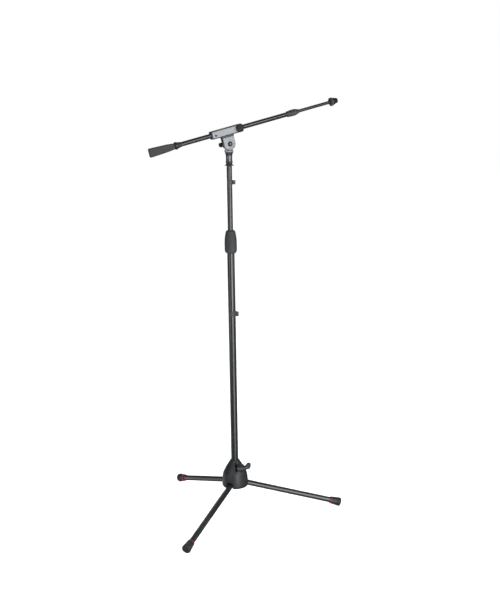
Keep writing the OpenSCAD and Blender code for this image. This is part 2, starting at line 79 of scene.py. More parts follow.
def points_of(node, place):
    """The vertices of a CAD node in a local frame."""
    mesh = frame["nodes"][node].data
    co = np.empty(len(mesh.vertices) * 3)
    mesh.vertices.foreach_get("co", co)
    inverse = np.array(place.inverted())
    return co.reshape(-1, 3) @ inverse[:3, :3].T + inverse[:3, 3]


# The boom's frame: origin on its axis above the pivot, +X to the microphone, +Y to the rear
PIVOT = joint_place("boom_tilt")
BOOM_X = joint_axis("boom_slide")
BOOM_Y = -joint_axis("boom_tilt")
BOOM_Z = BOOM_X.cross(BOOM_Y)
on_axis = box_centre("boom_outer_tube")
BOOM = axes_matrix(on_axis - (on_axis - PIVOT).dot(BOOM_X) * BOOM_X, BOOM_X, BOOM_Y, BOOM_Z)
OFFSET = (BOOM.translation - PIVOT).length
TILT = axes_matrix(PIVOT, BOOM_X, BOOM_Y, BOOM_Z)
UP = Vector((0, 0, 1))
SWIVEL = axes_matrix(PIVOT, BOOM_Y.cross(UP), BOOM_Y, UP)
COLUMN = Matrix.Identity(4)


def leg_frame(i):
    """A leg's frame: origin at its pin, +X out along the tube."""
    pin, y = joint_place(f"leg_{i}_fold"), joint_axis(f"leg_{i}_fold")
    x = (box_centre(f"leg_tube_{i}") - pin).normalized()
    return axes_matrix(pin, x, y, x.cross(y))


def screw_frame():
    """The wing screw's frame: +X along the screw, +Z up."""
    x = joint_axis("base_screw_turn")
    return axes_matrix(joint_place("base_screw_turn"), x, UP.cross(x), UP)


def reach(node, place, axis=0):
    """Lowest and highest place along a local axis, and the smallest and largest radius about it."""
    p = points_of(node, place)
    others = [i for i in range(3) if i != axis]
    r = np.hypot(p[:, others[0]], p[:, others[1]])
    return p[:, axis].min(), p[:, axis].max(), r.min(), r.max()


def radius_of(node, place, axis=0):
    return reach(node, place, axis)[3]


# The clamp housing in the boom's frame: its ends, height and thickness, and what sits in it
housing = points_of("clamp_frame", BOOM)
FRAME_LO, FRAME_HI = housing[:, 0].min(), housing[:, 0].max()
CLAMP_H = housing[:, 2].max() - housing[:, 2].min()
CLAMP_T = housing[:, 1].max() - housing[:, 1].min()
PLATE_T = 2 * MM
PLATE_SCREW_X, PLATE_SCREW_Z = -37 * MM, -2.5 * MM
BUSH_R, BUSH_LEN = 7.6 * MM, 10 * MM
knob_centre = BOOM.inverted() @ joint_place("clamp_screw_turn")
KNOB_X, KNOB_Z = knob_centre.x, knob_centre.z

# Radii of the tubes, of the microphone thread at its crests and its roots, of a leg pin's hole,
# of the pivot bolt, and of the clamp knob's hole
BOOM_R = radius_of("boom_outer_tube", BOOM)
INNER_R = radius_of("boom_inner_tube", BOOM)
LOWER_R = radius_of("lower_tube", COLUMN, 2)
UPPER_R = radius_of("upper_tube", COLUMN, 2)
MIC_R, MIC_ROOT = radius_of("mic_thread_stud", BOOM), 7.25 * MM
PIN_HOLE, BOLT_R, KNOB_HOLE = 2.6 * MM, 2.98 * MM, 3.1 * MM

# How far the wing screw stands out past the face of its hub
WING_REACH = 20.2 * MM


# ---------------------------------------------------------------- materials

def new_material(name):
    mat = bpy.data.materials.new(name)
    mat.use_nodes = True
    nodes, links = mat.node_tree.nodes, mat.node_tree.links
    return mat, nodes, links, nodes["Principled BSDF"]


def stretched(nodes, links, scale):
    coord = nodes.new("ShaderNodeTexCoord")
    mapping = nodes.new("ShaderNodeMapping")
    mapping.inputs["Scale"].default_value = scale
    links.new(coord.outputs["Object"], mapping.inputs["Vector"])
    return mapping.outputs["Vector"]


def noise(nodes, links, vector, scale, detail=3.0, rough=0.5, distortion=0.0):
    n = nodes.new("ShaderNodeTexNoise")
    n.inputs["Scale"].default_value = scale
    n.inputs["Detail"].default_value = detail
    n.inputs["Roughness"].default_value = rough
    n.inputs["Distortion"].default_value = distortion
    links.new(vector, n.inputs["Vector"])
    return n.outputs["Fac"]


def remap(nodes, links, value, lo, hi, to_lo, to_hi):
    n = nodes.new("ShaderNodeMapRange")
    for key, v in (("From Min", lo), ("From Max", hi), ("To Min", to_lo), ("To Max", to_hi)):
        n.inputs[key].default_value = v
    links.new(value, n.inputs["Value"])
    return n.outputs["Result"]


def mixed(nodes, links, factor, a, b):
    n = nodes.new("ShaderNodeMix")
    n.data_type = "RGBA"
    links.new(factor, n.inputs["Factor"])
    for key, v in ((6, a), (7, b)):
        if isinstance(v, tuple):
            n.inputs[key].default_value = v
        else:
            links.new(v, n.inputs[key])
    return n.outputs[2]


def added(nodes, links, *values):
    total = values[0]
    for v in values[1:]:
        n = nodes.new("ShaderNodeMath")
        n.operation = "ADD"
        links.new(total, n.inputs[0])
        links.new(v, n.inputs[1])
        total = n.outputs[0]
    return total


DUST = (0.42, 0.41, 0.39, 1.0)


def shade(colour, k):
    return tuple(min(1.0, c * k) for c in colour) + (1.0,)


def surface(name, colour, rough, metallic=0.0, grain=1500.0, relief=0.03, mottle=0.12,
            brush=None, brush_relief=0.0, wear=0.35, worn=None, dust=0.1, sheen=0.0, shine=0.5):
    """A finish with grain in its relief, cloudy colour and gloss, worn edges and a little dust.

    colour is linear; grain is the relief's frequency per metre and relief its height in mm;
    brush stretches a second, finer relief along an axis, as in drawn tube or brushed plate."""
    mat, nodes, links, bsdf = new_material(name)
    plain = stretched(nodes, links, (1, 1, 1))
    cloud = noise(nodes, links, plain, 38.0, 4.0, 0.6)
    smear = noise(nodes, links, plain, 9.0, 5.0, 0.65, 0.8)
    fine = noise(nodes, links, plain, grain, 4.0, 0.6)

    tone = mixed(nodes, links, remap(nodes, links, cloud, 0.3, 0.7, 0.0, 1.0),
                 shade(colour, 1 - mottle), shade(colour, 1 + mottle))
    speck = remap(nodes, links, fine, 0.35, 0.65, 0.0, 0.25)
    tone = mixed(nodes, links, speck, tone, shade(colour, 1 + 1.8 * mottle))
    if wear:
        point = nodes.new("ShaderNodeNewGeometry").outputs["Pointiness"]
        edge = remap(nodes, links, point, 0.54, 0.62, 0.0, wear)
        tone = mixed(nodes, links, edge, tone, (worn + (1.0,)) if worn else shade(colour, 1.9))
    if dust:
        up = nodes.new("ShaderNodeSeparateXYZ")
        links.new(nodes.new("ShaderNodeNewGeometry").outputs["Normal"], up.inputs[0])
        lying = remap(nodes, links, up.outputs["Z"], 0.5, 1.0, 0.0, dust)
        n = nodes.new("ShaderNodeMath")
        n.operation = "MULTIPLY"
        links.new(lying, n.inputs[0])
        links.new(remap(nodes, links, smear, 0.35, 0.65, 0.2, 1.0), n.inputs[1])
        tone = mixed(nodes, links, n.outputs[0], tone, DUST)
    links.new(tone, bsdf.inputs["Base Color"])

    gloss = added(nodes, links,
                  remap(nodes, links, smear, 0.3, 0.7, rough - 0.05, rough + 0.05),
                  remap(nodes, links, fine, 0.3, 0.7, -0.03, 0.03))
    links.new(gloss, bsdf.inputs["Roughness"])
    bsdf.inputs["Metallic"].default_value = metallic
    bsdf.inputs["Specular IOR Level"].default_value = shine
    bsdf.inputs["Sheen Weight"].default_value = sheen
    bsdf.inputs["Sheen Roughness"].default_value = 0.4

    bump = nodes.new("ShaderNodeBump")
    bump.inputs["Distance"].default_value = relief * MM
    bump.inputs["Strength"].default_value = 1.0
    links.new(fine, bump.inputs["Height"])
    if brush:
        lines = noise(nodes, links, stretched(nodes, links, brush), 1.0, 3.0, 0.6)
        second = nodes.new("ShaderNodeBump")
        second.inputs["Distance"].default_value = brush_relief * MM
        links.new(lines, second.inputs["Height"])
        links.new(second.outputs["Normal"], bump.inputs["Normal"])
    links.new(bump.outputs["Normal"], bsdf.inputs["Normal"])
    return mat


# Cycles per metre of the lines left by drawing a tube along Z and brushing a plate along X
DRAWN = (2600, 2600, 22)
BRUSHED = (30, 3200, 3200)
MATERIALS = {
    "tube_black": surface("tube_black", (0.011, 0.012, 0.0135), 0.25, grain=2200, relief=0.008,
                          brush=DRAWN, brush_relief=0.006, mottle=0.12, wear=0.2, dust=0.04,
                          shine=0.75),
    "cast_black": surface("cast_black", (0.014, 0.0155, 0.0168), 0.46, grain=1500, relief=0.05,
                          mottle=0.2, wear=0.4, worn=(0.09, 0.095, 0.1), dust=0.06, shine=0.45),
    "cast_grey": surface("cast_grey", (0.195, 0.204, 0.217), 0.45, metallic=0.3, grain=2400,
                         relief=0.015, brush=BRUSHED, brush_relief=0.008, mottle=0.05, wear=0.3,
                         worn=(0.45, 0.46, 0.48), dust=0.03),
    "rubber_black": surface("rubber_black", (0.012, 0.013, 0.0133), 0.46, grain=1300, relief=0.05,
                            mottle=0.22, wear=0.3, worn=(0.06, 0.06, 0.06), dust=0.06, sheen=0.03,
                            shine=0.5),
    "ring_red": surface("ring_red", (0.27, 0.012, 0.03), 0.42, grain=1800, relief=0.02,
                        mottle=0.12, wear=0.3, dust=0.04),
    "grip_grey": surface("grip_grey", (0.026, 0.029, 0.030), 0.55, grain=1400, relief=0.05,
                         mottle=0.18, wear=0.5, worn=(0.12, 0.125, 0.125), dust=0.05, sheen=0.06,
                         shine=0.4),
    "plastic_black": surface("plastic_black", (0.0048, 0.005, 0.0053), 0.4, grain=1700,
                             relief=0.035, mottle=0.2, wear=0.3, worn=(0.07, 0.07, 0.072),
                             dust=0.04, shine=0.22),
    "plastic_grey": surface("plastic_grey", (0.03, 0.0325, 0.034), 0.46, grain=1700, relief=0.035,
                            mottle=0.16, wear=0.4, worn=(0.11, 0.115, 0.12), dust=0.05, shine=0.45),
    "steel_zinc": surface("steel_zinc", (0.15, 0.155, 0.16), 0.42, metallic=1.0, grain=2600,
                          relief=0.01, mottle=0.08, wear=0.2, dust=0.02),
    "steel_black": surface("steel_black", (0.03, 0.031, 0.033), 0.4, metallic=0.6, grain=2400,
                           relief=0.01, mottle=0.1, wear=0.3, worn=(0.2, 0.2, 0.21), dust=0.02),
    "socket_steel": surface("socket_steel", (0.12, 0.125, 0.132), 0.26, metallic=1.0, grain=2400,
                            relief=0.01, brush=DRAWN, brush_relief=0.006, mottle=0.08, wear=0.2,
                            dust=0.02),
    "nylon": surface("nylon", (0.36, 0.34, 0.29), 0.5, grain=1500, relief=0.02, mottle=0.06),
    "fibre": surface("fibre", (0.09, 0.05, 0.03), 0.8, grain=900, relief=0.08, mottle=0.25),
    "brass": surface("brass", (0.5, 0.35, 0.14), 0.32, metallic=1.0, grain=2400, relief=0.01),
    "weight_grey": surface("weight_grey", (0.0135, 0.015, 0.0155), 0.54, grain=1200, relief=0.07,
                           mottle=0.15, wear=0.5, worn=(0.1, 0.105, 0.105), dust=0.05, shine=0.4),
}
for cad_name, cad_object in frame["nodes"].items():
    cad_object.data.materials.clear()
    cad_object.data.materials.append(MATERIALS[SLOT_OF[cad_name]])


# ---------------------------------------------------------------- mesh tools

def solid(name, verts, faces):
    mesh = bpy.data.meshes.new(name)
    mesh.from_pydata([tuple(v) for v in verts], [], faces)
    mesh.validate()
    bm = bmesh.new()
    bm.from_mesh(mesh)
    bmesh.ops.recalc_face_normals(bm, faces=bm.faces)
    bm.to_mesh(mesh)
    bm.free()
    obj = bpy.data.objects.new(name, mesh)
    bpy.context.scene.collection.objects.link(obj)
    return obj


def freeze(obj):
    """Applies an object's modifiers."""
    bpy.context.view_layer.update()
    evaluated = obj.evaluated_get(bpy.context.evaluated_depsgraph_get())
    mesh = bpy.data.meshes.new_from_object(evaluated)
    obj.modifiers.clear()
    obj.data = mesh
    return obj


def combined(obj, tools, operation):
    for tool in tools:
        m = obj.modifiers.new("cut", "BOOLEAN")
        m.operation, m.solver, m.object = operation, "EXACT", tool
        freeze(obj)
        bpy.data.objects.remove(tool)
    return obj


def cut(obj, *tools):
    return combined(obj, tools, "DIFFERENCE")


def merged(obj, *tools):
    return combined(obj, tools, "UNION")


def rounded(obj, width):
    """Rounds an object's sharp edges."""
    m = obj.modifiers.new("round", "BEVEL")
    m.width, m.segments = width, 3
    m.limit_method, m.angle_limit = "ANGLE", math.radians(35)
    return freeze(obj)


def moulded(obj, voxel, passes):
    """Melts a solid's parts into one skin with soft inner corners, as a casting has."""
    m = obj.modifiers.new("skin", "REMESH")
    m.mode, m.voxel_size = "VOXEL", voxel
    s = obj.modifiers.new("soft", "SMOOTH")
    s.factor, s.iterations = 0.5, passes
    return freeze(obj)


def turned(obj, matrix):
    obj.data.transform(matrix)
    return obj


X_FROM_Z = Matrix.Rotation(math.pi / 2, 4, "Y")
FRONT_FROM_Z = Matrix.Rotation(math.pi / 2, 4, "X")


def fillet(corners, steps=5):
    """Outline points of a polygon whose corners (x, y, radius) are rounded."""
    out = []
    n = len(corners)
    for i, (x, y, r) in enumerate(corners):
        p = np.array((x, y), float)
        if r <= 0:
            out.append(tuple(p))
            continue
        a = np.array(corners[i - 1][:2], float) - p
        b = np.array(corners[(i + 1) % n][:2], float) - p
        la, lb = np.linalg.norm(a), np.linalg.norm(b)
        a, b = a / la, b / lb
        half = math.acos(max(-1.0, min(1.0, float(a @ b)))) / 2
        run = min(r / math.tan(half), 0.49 * la, 0.49 * lb)
        start, end = p + a * run, p + b * run
        for k in range(steps + 1):
            t = k / steps
            out.append(tuple((1 - t) ** 2 * start + 2 * t * (1 - t) * p + t * t * end))
    return out


def lathe(name, profile, segments=96, wave=None):
    """Turns a closed (z, r) outline about Z; wave(z, r, angle) may change a radius.

    An outline that starts and ends on the axis is a solid; any other is a ring."""
    on_axis_ends = profile[0][1] < 1e-9 and profile[-1][1] < 1e-9
    rings = profile[1:-1] if on_axis_ends else profile
    angles = np.arange(segments) * TAU / segments
    verts, faces = [], []
    for z, r in rings:
        radius = np.full(segments, r) if wave is None else wave(z, r, angles)
        verts += list(zip(radius * np.cos(angles), radius * np.sin(angles), [z] * segments))
    count = len(rings)
    for i in range(count if not on_axis_ends else count - 1):
        a, b = i * segments, (i + 1) % count * segments
        for k in range(segments):
            m = (k + 1) % segments
            faces.append((a + k, a + m, b + m, b + k))
    if on_axis_ends:
        for z, base in ((profile[0][0], 0), (profile[-1][0], (count - 1) * segments)):
            tip = len(verts)
            verts.append((0, 0, z))
            faces += [(base + k, base + (k + 1) % segments, tip) for k in range(segments)]
    return solid(name, verts, faces)


def lathe_x(name, profile, segments=96, wave=None):
    """Turns an outline about X."""
    return turned(lathe(name, profile, segments, wave), X_FROM_Z)


def prism(name, outline, z0, z1, edge=0.0):
    """An outline in XY extruded from z0 to z1, with its rims rounded."""
    n = len(outline)
    verts = [(x, y, z) for z in (z0, z1) for x, y in outline]
    faces = [tuple(range(n)), tuple(range(n, 2 * n))]
    faces += [(k, (k + 1) % n, n + (k + 1) % n, n + k) for k in range(n)]
    obj = solid(name, verts, faces)
    return rounded(obj, edge) if edge else obj


def block(name, lo, hi, edge=0.0):
    outline = [(lo[0], lo[1]), (hi[0], lo[1]), (hi[0], hi[1]), (lo[0], hi[1])]
    return prism(name, outline, lo[2], hi[2], edge)


def rod(name, r, z0, z1, segments=64):
    return lathe(name, [(z0, 0.0), (z0, r), (z1, r), (z1, 0.0)], segments)


def ring_outline(z0, z1, r_in, r_out, edge):
    return fillet([(z0, r_in, edge * 0.6), (z0, r_out, edge), (z1, r_out, edge),
                   (z1, r_in, edge * 0.6)])


def tube_outline(node, place, axis, wall):
    """The outline of a node that is a plain tube, from its own length and radius."""
    z0, z1, _, r = reach(node, place, axis)
    return ring_outline(z0, z1, r - wall, r, 0.5 * MM)


def dense(profile, step):
    """The same outline with more points along its long straight runs."""
    out = []
    for (z0, r0), (z1, r1) in zip(profile, profile[1:]):
        n = max(1, int(math.hypot(z1 - z0, r1 - r0) / step))
        out += [(z0 + (z1 - z0) * i / n, r0 + (r1 - r0) * i / n) for i in range(n)]
    return out + [profile[-1]]


def arc(cx, cy, r, a0, a1, n):
    """Outline points round (cx, cy) from angle a0 to a1, in degrees."""
    turn = np.radians(np.linspace(a0, a1, n + 1))
    return [(cx + r * math.cos(t), cy + r * math.sin(t)) for t in turn]


def hexagon(r):
    return [(r * math.cos(k * TAU / 6), r * math.sin(k * TAU / 6)) for k in range(6)]


def quadratic(a, b, c, n):
    """n points of a quadratic curve from a to c that leans towards b."""
    return [tuple((1 - t) ** 2 * a[i] + 2 * t * (1 - t) * b[i] + t * t * c[i] for i in range(2))
            for t in np.linspace(0, 1, n)]


def finish_piece(obj, node, place, smooth=32, look=None):
    """Puts a piece in its frame, with its node's finish or another look, on its node's body."""
    obj.data.shade_smooth()
    obj.data.set_sharp_from_angle(angle=math.radians(smooth))
    obj.data.materials.clear()
    obj.data.materials.append(MATERIALS[look or SLOT_OF[node]])
    obj.matrix_world = place
    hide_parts(node)
    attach(obj, BODY_OF[node])


# ---------------------------------------------------------------- tripod base

def bell_outline(lo_z, hi_z, r, neck):
    """The bell's outside from its rim over its shoulder to its neck, as (z, r) points."""
    rim = [(lo_z, 0.0), (lo_z, r - 7 * MM), (lo_z + 2 * MM, r - 2.2 * MM), (lo_z + 8 * MM, r)]
    flank = quadratic((lo_z + 12 * MM, r), (lo_z + 34 * MM, r - 0.6 * MM),
                      (lo_z + 47 * MM, r - 4.6 * MM), 9)
    top = [(lo_z + 64 * MM, r - 13.2 * MM), (hi_z - 4.5 * MM, neck + 2.8 * MM),
           (hi_z, neck), (hi_z, 0.0)]
    return rim + flank + top


def make_bell():
    """A hollow casting with three leg slots, lugs for their pins, and a slit neck with a boss."""
    lo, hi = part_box("base_bell")
    z0, z1 = lo.z, hi.z
    r = (hi.x - lo.x) / 2
    neck_wall, wall = 2.5 * MM, 2.9 * MM
    cavity_top, slit_bottom = z0 + 42 * MM, z0 + 55 * MM
    bell = lathe("bell_casting", bell_outline(z0, z1, r, LOWER_R + neck_wall), 144)
    cavity = lathe("cavity", [
        (z0 - 1 * MM, 0.0), (z0 - 1 * MM, r - 7.4 * MM), (z0 + 4 * MM, r - 6 * MM),
        (z0 + 6 * MM, r - wall), (z0 + 30 * MM, r - wall), (cavity_top - 1 * MM, r - 9 * MM),
        (cavity_top, r - 12 * MM), (cavity_top, 0.0)], 96)

    # The lugs are left standing in the cavity, on both sides of each leg
    lug_in, lug_out = 9.3 * MM, 13.5 * MM
    slot_top = joint_place("leg_1_fold").z + radius_of("leg_tube_1", leg_frame(1)) + 1.2 * MM
    slots = []
    for i in (1, 2, 3):
        y = joint_axis(f"leg_{i}_fold")
        turn = axes_matrix(Vector((0, 0, 0)), y.cross(UP), y, UP)
        for side in (-1, 1):
            a, b = sorted((side * lug_in, side * lug_out))
            lug = block("lug", (17 * MM, a, z0 - 3 * MM), (r + 3 * MM, b, cavity_top + 3 * MM))
            cut(cavity, turned(lug, turn))
        slots.append(turned(block("slot", (20 * MM, -lug_in, z0 - 9 * MM),
                                  (r + 9 * MM, lug_in, slot_top), 5 * MM), turn))
    cut(bell, cavity)

    # The boss for the wing screw is drawn out towards the front, beside the slit
    screw = screw_frame()
    boss_end = reach("base_wing_screw", screw, 0)[1] - WING_REACH - 0.7 * MM
    gap, boss_r, proud = 2.25 * MM, 11.6 * MM, 3.2 * MM
    ear = arc(0, 0, boss_r, 0, 180, 24) + arc(0, -proud, boss_r, 180, 360, 24)
    merged(bell, turned(prism("boss", ear, gap, boss_end, 2.0 * MM), screw @ X_FROM_Z))
    cut(bell, *slots)
    cut(bell, rod("bore", LOWER_R + 0.35 * MM, z0 - 3 * MM, z1 + 3 * MM))
    across = joint_axis("base_screw_turn")
    slit = block("slit", (-gap, -r - 6 * MM, slit_bottom), (gap, 0, z1 + 3 * MM), 1.5 * MM)
    cut(bell, turned(slit, axes_matrix(Vector((0, 0, 0)), across, UP.cross(across), UP)))
    cut(bell, turned(rod("tap", 2.6 * MM, -12 * MM, boss_end + 2 * MM, 40), screw @ X_FROM_Z))
    moulded(bell, 0.72 * MM, 3)
    finish_piece(bell, "base_bell", COLUMN, 60)


def make_wing_screw():
    """A hub with one leaning wing, drawn in mm from the hub's face, and its shank."""
    place = screw_frame()
    lo, hi = reach("base_wing_screw", place, 0)[:2]
    face = hi - WING_REACH
    hub_r, nose_r, hub_end = 6.4 * MM, 4.6 * MM, face + 16 * MM
    hub = lathe_x("wing_screw", fillet([
        (face, 0, 0), (face, hub_r, 0.8 * MM), (face + 8 * MM, hub_r, 2 * MM),
        (hub_end, nose_r, 2 * MM), (hub_end, 0, 0)]), 64)
    wing = fillet([
        (0.4, 0, 0), (0.4, 6.2, 1), (3.4, 9.6, 2), (6.6, 15.6, 3), (9.5, 19.6, 3), (17.4, 20, 4),
        (20, 15.6, 3), (20, 4, 5), (17, -4, 3), (12, -6.4, 2), (8, -6.4, 0)], 5)
    wing = [(face + x * MM, y * MM) for x, y in wing]
    half, lean = 3 * MM, math.radians(28)
    part = prism("wing", wing, -half, half, 1.7 * MM)
    merged(hub, turned(part, Matrix.Rotation(lean, 4, "X") @ FRONT_FROM_Z))
    moulded(hub, 0.42 * MM, 4)
    merged(hub, turned(rod("shank", 2.45 * MM, lo, face + 2 * MM, 40), X_FROM_Z))
    finish_piece(hub, "base_wing_screw", place, 50, "plastic_grey")


def make_leg_tube(i):
    node, place = f"leg_tube_{i}", leg_frame(i)
    x0, x1, _, r = reach(node, place, 0)
    outline = ring_outline(x0, max(x1, 0), r - 1.2 * MM, r, 0.5 * MM)
    body = lathe_x(node + ".body", outline, 72)
    cut(body, turned(rod("hole", PIN_HOLE, -12 * MM, 12 * MM, 40), FRONT_FROM_Z))
    finish_piece(body, node, place)


def make_foot_ring(i):
    node, place = f"foot_ring_{i}", leg_frame(i)
    outline = ring_outline(*reach(node, place, 0), 0.8 * MM)
    finish_piece(lathe_x(node + ".band", outline, 72), node, place)


def make_foot(i):
    """A flared boot with three grooves; its floor has a pinhole, so the outline stays a ring."""
    node, place = f"rubber_foot_{i}", leg_frame(i)
    x0, x1, _, r = reach(node, place, 0)
    tube_r = radius_of(f"leg_tube_{i}", place)
    neck = radius_of(f"foot_ring_{i}", place) + 0.1 * MM
    length, floor = x1 - x0, x1 - 6 * MM
    groove_depth, soft, end_r, pinhole = 0.7 * MM, 0.2 * MM, 4.4 * MM, 0.02 * MM
    outline = [(x0, tube_r, 0), (x0, neck, 1.2 * MM), (x0 + 0.2 * length, neck + 0.1 * MM, 6 * MM),
               (x0 + 0.52 * length, neck + 0.9 * MM, 9 * MM),
               (x0 + 0.64 * length, r - 0.7 * MM, 0)]
    for share in (0.66, 0.72, 0.78):
        x = x0 + share * length
        outline += [(x, r - 0.3 * MM, soft), (x + 0.3 * MM, r - groove_depth, soft),
                    (x + 1.0 * MM, r - groove_depth, soft), (x + 1.3 * MM, r - 0.2 * MM, soft)]
    outline += [(x, y, 0) for x, y in arc(x1 - end_r, r - end_r, end_r, 90, 0, 10)]
    outline += [(x1, 6 * MM, 1 * MM), (x1 - 1 * MM, 5 * MM, 1 * MM), (x1 - 1 * MM, 0, 0)]
    points = fillet(outline, 6) + [(floor, 0.0), (floor, tube_r)]
    foot = lathe_x(node + ".boot", [(x, max(y, pinhole)) for x, y in points], 80)
    finish_piece(foot, node, place)


# ---------------------------------------------------------------- column

def make_column_tubes():
    lower = lathe("lower_tube.body", tube_outline("lower_tube", COLUMN, 2, 1.2 * MM), 96)
    finish_piece(lower, "lower_tube", COLUMN)
    upper = lathe("upper_tube.body", tube_outline("upper_tube", COLUMN, 2, 1.0 * MM), 96)
    hole = Matrix.Translation((0, 0, box_centre("stud_set_screw").z)) @ FRONT_FROM_Z
    cut(upper, turned(rod("hole", 1.7 * MM, 0, 20 * MM, 32), hole))
    finish_piece(upper, "upper_tube", COLUMN)


def make_clip(node, tube_r):
    """A band that snaps round a tube, with an open hook for the cable."""
    z0, z1 = reach(node, COLUMN, 2)[:2]
    centre = box_centre(node)
    band, hook, hook_r, clear = 1.6 * MM, 1.8 * MM, 3.4 * MM, 0.08 * MM
    at = tube_r + band + hook_r - 0.6 * MM
    # In degrees: the band's half turn, where the hook's tip ends, and how wide its mouth is
    wrap, tip, mouth = 148, -8, 92
    strip = (arc(0, 0, tube_r + band, -wrap, wrap, 48)
             + arc(0, 0, tube_r + clear, wrap, -wrap, 48))
    clip = prism(node + ".clip", strip, z0, z1, 0.45 * MM)
    loop = (arc(at, 0, hook_r + hook, tip - 360 + mouth, tip, 40)
            + arc(at, 0, hook_r, tip, tip - 360 + mouth, 40))
    merged(clip, prism("hook", loop, z0 + 0.5 * MM, z1 - 0.5 * MM, 0.45 * MM))
    cut(clip, rod("bore", tube_r + clear, z0 - 2 * MM, z1 + 2 * MM, 96))
    turned(clip, Matrix.Rotation(math.atan2(centre.y, centre.x), 4, "Z"))
    finish_piece(clip, node, COLUMN, 40)


def make_clutch_grip():
    node = "clutch_grip"
    z0, z1, _, big = reach(node, COLUMN, 2)
    height = z1 - z0

    def barrel(t):
        """The grip's radius at height t, widest at 0.3."""
        over, under = max(t - 0.3, 0), max(0.3 - t, 0)
        return big * (1 - 0.95 * over ** 3 - 0.35 * under ** 2)

    top_r, core_r, base_r = UPPER_R + 0.6 * MM, LOWER_R + 2.4 * MM, LOWER_R + 0.4 * MM
    outer = [(z0, base_r)]
    outer += quadratic((z0, base_r + 0.8 * MM), (z0 + 0.5 * MM, big - 1.2 * MM),
                       (z0 + 0.14 * height, barrel(0.14)), 14)
    outer += [(z0 + t * height, barrel(t)) for t in np.linspace(0.15, 0.87, 104)]
    outer += quadratic((z0 + 0.88 * height, barrel(0.88)), (z1 - 0.5 * MM, barrel(0.94)),
                       (z1, UPPER_R + 2.4 * MM), 14)
    outer += [(z1, top_r), (z1 - 9 * MM, top_r), (z1 - 13 * MM, core_r), (z0 + 4 * MM, core_r),
              (z0 + 3.6 * MM, base_r)]

    chevrons, pitch, slope, depth = 5, 5.6 * MM, 0.72, 0.75 * MM
    groove_half, seam_half, fade = 0.24, 0.012, 0.05
    span = TAU * big / chevrons
    front = -math.pi / 2 + math.radians(4)

    def herringbone(z, r, angles):
        """Slanting grooves that meet in points, with seams between, fading at both ends."""
        t = (z - z0) / height
        if r < big * 0.72:
            return np.full(len(angles), r)
        u = ((angles - front) / TAU * chevrons) % 1.0
        zigzag = np.abs(u - 0.5) * span
        phase = ((z - z0 - zigzag * slope) / pitch) % 1.0
        groove = np.clip(1 - np.abs(phase - 0.5) / groove_half, 0, 1)
        groove = groove * groove * (3 - 2 * groove)
        seam = np.clip(np.minimum(np.abs(u - 0.5), 0.5 - np.abs(u - 0.5)) / seam_half, 0, 1)
        ends = min(1.0, max(0.0, (t - 0.07) / fade), max(0.0, (0.93 - t) / fade))
        return r - depth * groove * ends * (0.55 + 0.45 * seam)

    grip = lathe("clutch_grip.herringbone", outer, 360, herringbone)
    finish_piece(grip, node, COLUMN, 60)


def make_lock_ring():
    node = "swivel_lock_ring"
    z0, z1, inner, big = reach(node, COLUMN, 2)
    rim, notches, notch_depth = 2.2 * MM, 36, 0.5 * MM

    def wave(z, r, angles):
        s = np.abs(np.sin(angles * notches / 2)) ** 0.7
        share = min(1.0, max(0.0, (r - 0.88 * big) / (0.1 * big)))
        return r - notch_depth * share * (1 - s)

    outline = fillet([
        (z0, inner, 0.2 * MM), (z0, big - 0.2 * MM, 0.6 * MM), (z0 + rim, big - 0.2 * MM, 0.6 * MM),
        (z0 + rim + 0.2 * MM, 10.4 * MM, 0.8 * MM), (z1 - 0.6 * MM, 9.2 * MM, 0.4 * MM),
        (z1, 8.9 * MM, 0), (z1, inner, 0.2 * MM)])
    finish_piece(lathe(node + ".knurled", outline, 288, wave), node, COLUMN, 40)


def make_socket():
    """The threaded socket: dark collars and cup with a steel sleeve round its waist."""
    node = "swivel_socket"
    z0, z1 = reach(node, COLUMN, 2)[:2]
    bore, waist, collar, rim, drain = 8 * MM, 9.4 * MM, 10.3 * MM, 12 * MM, 5.2 * MM
    core, waist_top, cup = waist - 0.6 * MM, z0 + 21.5 * MM, z0 + 24 * MM
    outline = fillet([
        (z0, bore, 0.3 * MM), (z0, collar, 0.6 * MM), (z0 + 5.4 * MM, collar, 0.8 * MM),
        (z0 + 6.2 * MM, core, 0), (waist_top, core, 0), (waist_top, waist + 0.3 * MM, 0.3 * MM),
        (cup, waist + 0.6 * MM, 2 * MM), (z1 - 1.2 * MM, rim, 1.0 * MM), (z1, rim, 0),
        (z1, drain, 0), (cup, drain, 0), (cup, bore, 0)])
    finish_piece(lathe(node + ".collars", outline, 96), node, COLUMN)
    inner, low, high = waist - 1.2 * MM, z0 + 5.6 * MM, waist_top + 0.3 * MM
    sleeve = fillet([(low, inner, 0), (low, waist, 0.2 * MM), (high, waist, 0.2 * MM),
                     (high, inner, 0)])
    finish_piece(lathe(node + ".sleeve", sleeve, 96), node, COLUMN, 32, "socket_steel")


def make_shoulder():
    """The grey disc on the socket, and the tongue that the two cheeks grip."""
    node = "swivel_shoulder"
    low, high = reach("swivel_socket", COLUMN, 2)[1], PIVOT.z - 18.7 * MM
    disc = fillet([(low, 0, 0), (low, 12.4 * MM, 0.4 * MM), (low + 1.6 * MM, 13.7 * MM, 0.8 * MM),
                   (high, 13.7 * MM, 1.4 * MM), (high - 0.5 * MM, 0, 0)])
    shoulder = lathe(node + ".casting", disc, 96)
    half, root, knee = 3.4 * MM, high - PIVOT.z - 2 * MM, (13.9 * MM, -7.8 * MM)
    outline = ([(-10.6 * MM, root), (10.6 * MM, root), knee] + arc(0, 0, 15.9 * MM, -29, 209, 40)
               + [(-knee[0], knee[1])])
    to_column = SWIVEL @ FRONT_FROM_Z
    merged(shoulder, turned(prism("tongue", outline, -half, half, 0.6 * MM), to_column))
    cut(shoulder, turned(rod("hole", BOLT_R + 0.12 * MM, -12 * MM, 12 * MM, 48), to_column))
    finish_piece(shoulder, node, COLUMN, 40)


